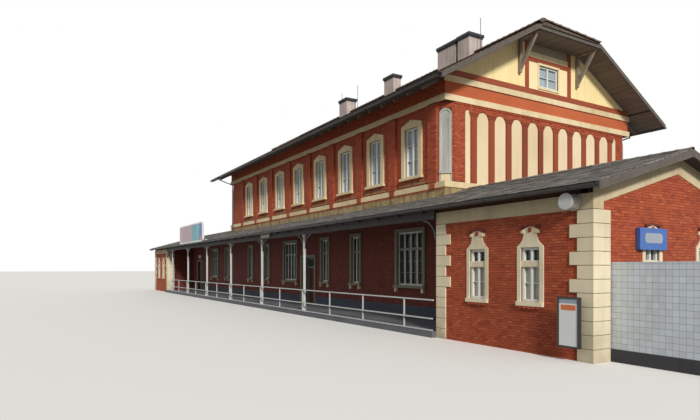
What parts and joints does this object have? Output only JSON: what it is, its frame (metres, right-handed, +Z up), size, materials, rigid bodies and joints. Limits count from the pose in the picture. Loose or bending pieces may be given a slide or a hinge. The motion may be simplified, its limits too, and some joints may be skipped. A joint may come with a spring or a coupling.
{
  "type": "railway station building, 1:2 scale model",
  "caption": "Two-storey brick station building with half-hipped roof, canopied veranda and single-storey quoined wings, as a 1:2 scale model with hinged platform doors.",
  "frame": {"origin": "centre of the two-storey block's footprint at ground level, on the underside of its floor slab", "axes": "+X along the platform to the right as seen from the tracks, +Y from the platform into the building, +Z up"},
  "size_m": [27.64, 8.271, 7.6],
  "materials": {
    "brick": "matte",
    "cream_render": "matte",
    "quoin_stone": "matte",
    "dark_plinth": "matte",
    "white_tiles": "satin",
    "roof_tiles": "matte",
    "grey_slates": "matte",
    "floor_timber": "matte",
    "concrete": "matte",
    "yellow_boards": "matte",
    "brown_timber": "matte",
    "grey_timber": "matte",
    "white_joinery": "satin",
    "door_timber": "satin",
    "glass": "gloss",
    "chimney_render": "matte",
    "dark_metal": "satin",
    "grey_metal": "satin",
    "sign_face": "satin"
  },
  "bodies": {
    "building": {"arched_panels": "cream_render", "attic_floor": "floor_timber", "belt_course": "cream_render", "brick_pilasters": "brick", "canopy_beam": "brown_timber", "canopy_braces": "dark_metal", "canopy_lamps": "sign_face", "canopy_posts": "grey_metal", "canopy_roof": "grey_slates", "canopy_sign": "sign_face", "chimney_caps": "dark_plinth", "chimney_stacks": "chimney_render", "corner_niches": "cream_render", "cornice_bands": "cream_render", "door_frames": "door_timber", "door_lights": "glass", "drum_lamp": "grey_metal", "gable_boarding": "yellow_boards", "gable_brackets": "grey_timber", "gable_timbers": "brown_timber", "ground_floor": "concrete", "gutters": "dark_metal", "half_hips": "roof_tiles", "left_gable_wall": "brick", "left_wing_side_wall": "brick", "left_wing_walls": "brick", "lightning_rods": "dark_metal", "ogee_surrounds": "cream_render", "platform_roof_slope": "roof_tiles", "platform_wall_left": "brick", "platform_wall_right": "brick", "platform_wall_upper": "brick", "poster_case": "sign_face", "quoin_piers": "quoin_stone", "right_gable_wall": "brick", "right_wing_side_wall": "brick", "right_wing_walls": "brick", "small_signs": "sign_face", "street_door_leaves": "door_timber", "street_roof_slope": "roof_tiles", "street_wall_ground": "brick", "street_wall_upper": "brick", "upper_floor": "floor_timber", "veranda_floor": "dark_plinth", "veranda_railing": "grey_metal", "verge_boards": "brown_timber", "walls_over_doors": "brick", "window_frames": "white_joinery", "window_panes": "glass", "window_surrounds": "cream_render", "wing_eave_bands": "cream_render", "wing_floors": "concrete", "wing_roof_platform_slopes": "grey_slates", "wing_roof_street_slopes": "grey_slates", "yard_wall": "white_tiles", "yard_wall_plinth": "dark_plinth"},
    "hall_left_leaf": {"hall_door_left_leaf": "door_timber"},
    "hall_right_leaf": {"hall_door_right_leaf": "door_timber"},
    "wing_left_leaf": {"wing_door_left_leaf": "door_timber"},
    "wing_right_leaf": {"wing_door_right_leaf": "door_timber"}
  },
  "joints": [
    {"name": "hall_left_hinge", "type": "hinge", "parent": "building", "child": "hall_left_leaf", "pos_m": [0.1, -2.7447, 0.1], "axis": [0, 0, 1], "range_deg": [0, 90]},
    {"name": "hall_right_hinge", "type": "hinge", "parent": "building", "child": "hall_right_leaf", "pos_m": [0.8, -2.7447, 0.1], "axis": [0, 0, -1], "range_deg": [0, 90]},
    {"name": "wing_left_hinge", "type": "hinge", "parent": "building", "child": "wing_left_leaf", "pos_m": [-11.3, -2.8197, 0.1], "axis": [0, 0, 1], "range_deg": [0, 90]},
    {"name": "wing_right_hinge", "type": "hinge", "parent": "building", "child": "wing_right_leaf", "pos_m": [-10.7, -2.8197, 0.1], "axis": [0, 0, -1], "range_deg": [0, 90]}
  ]
}
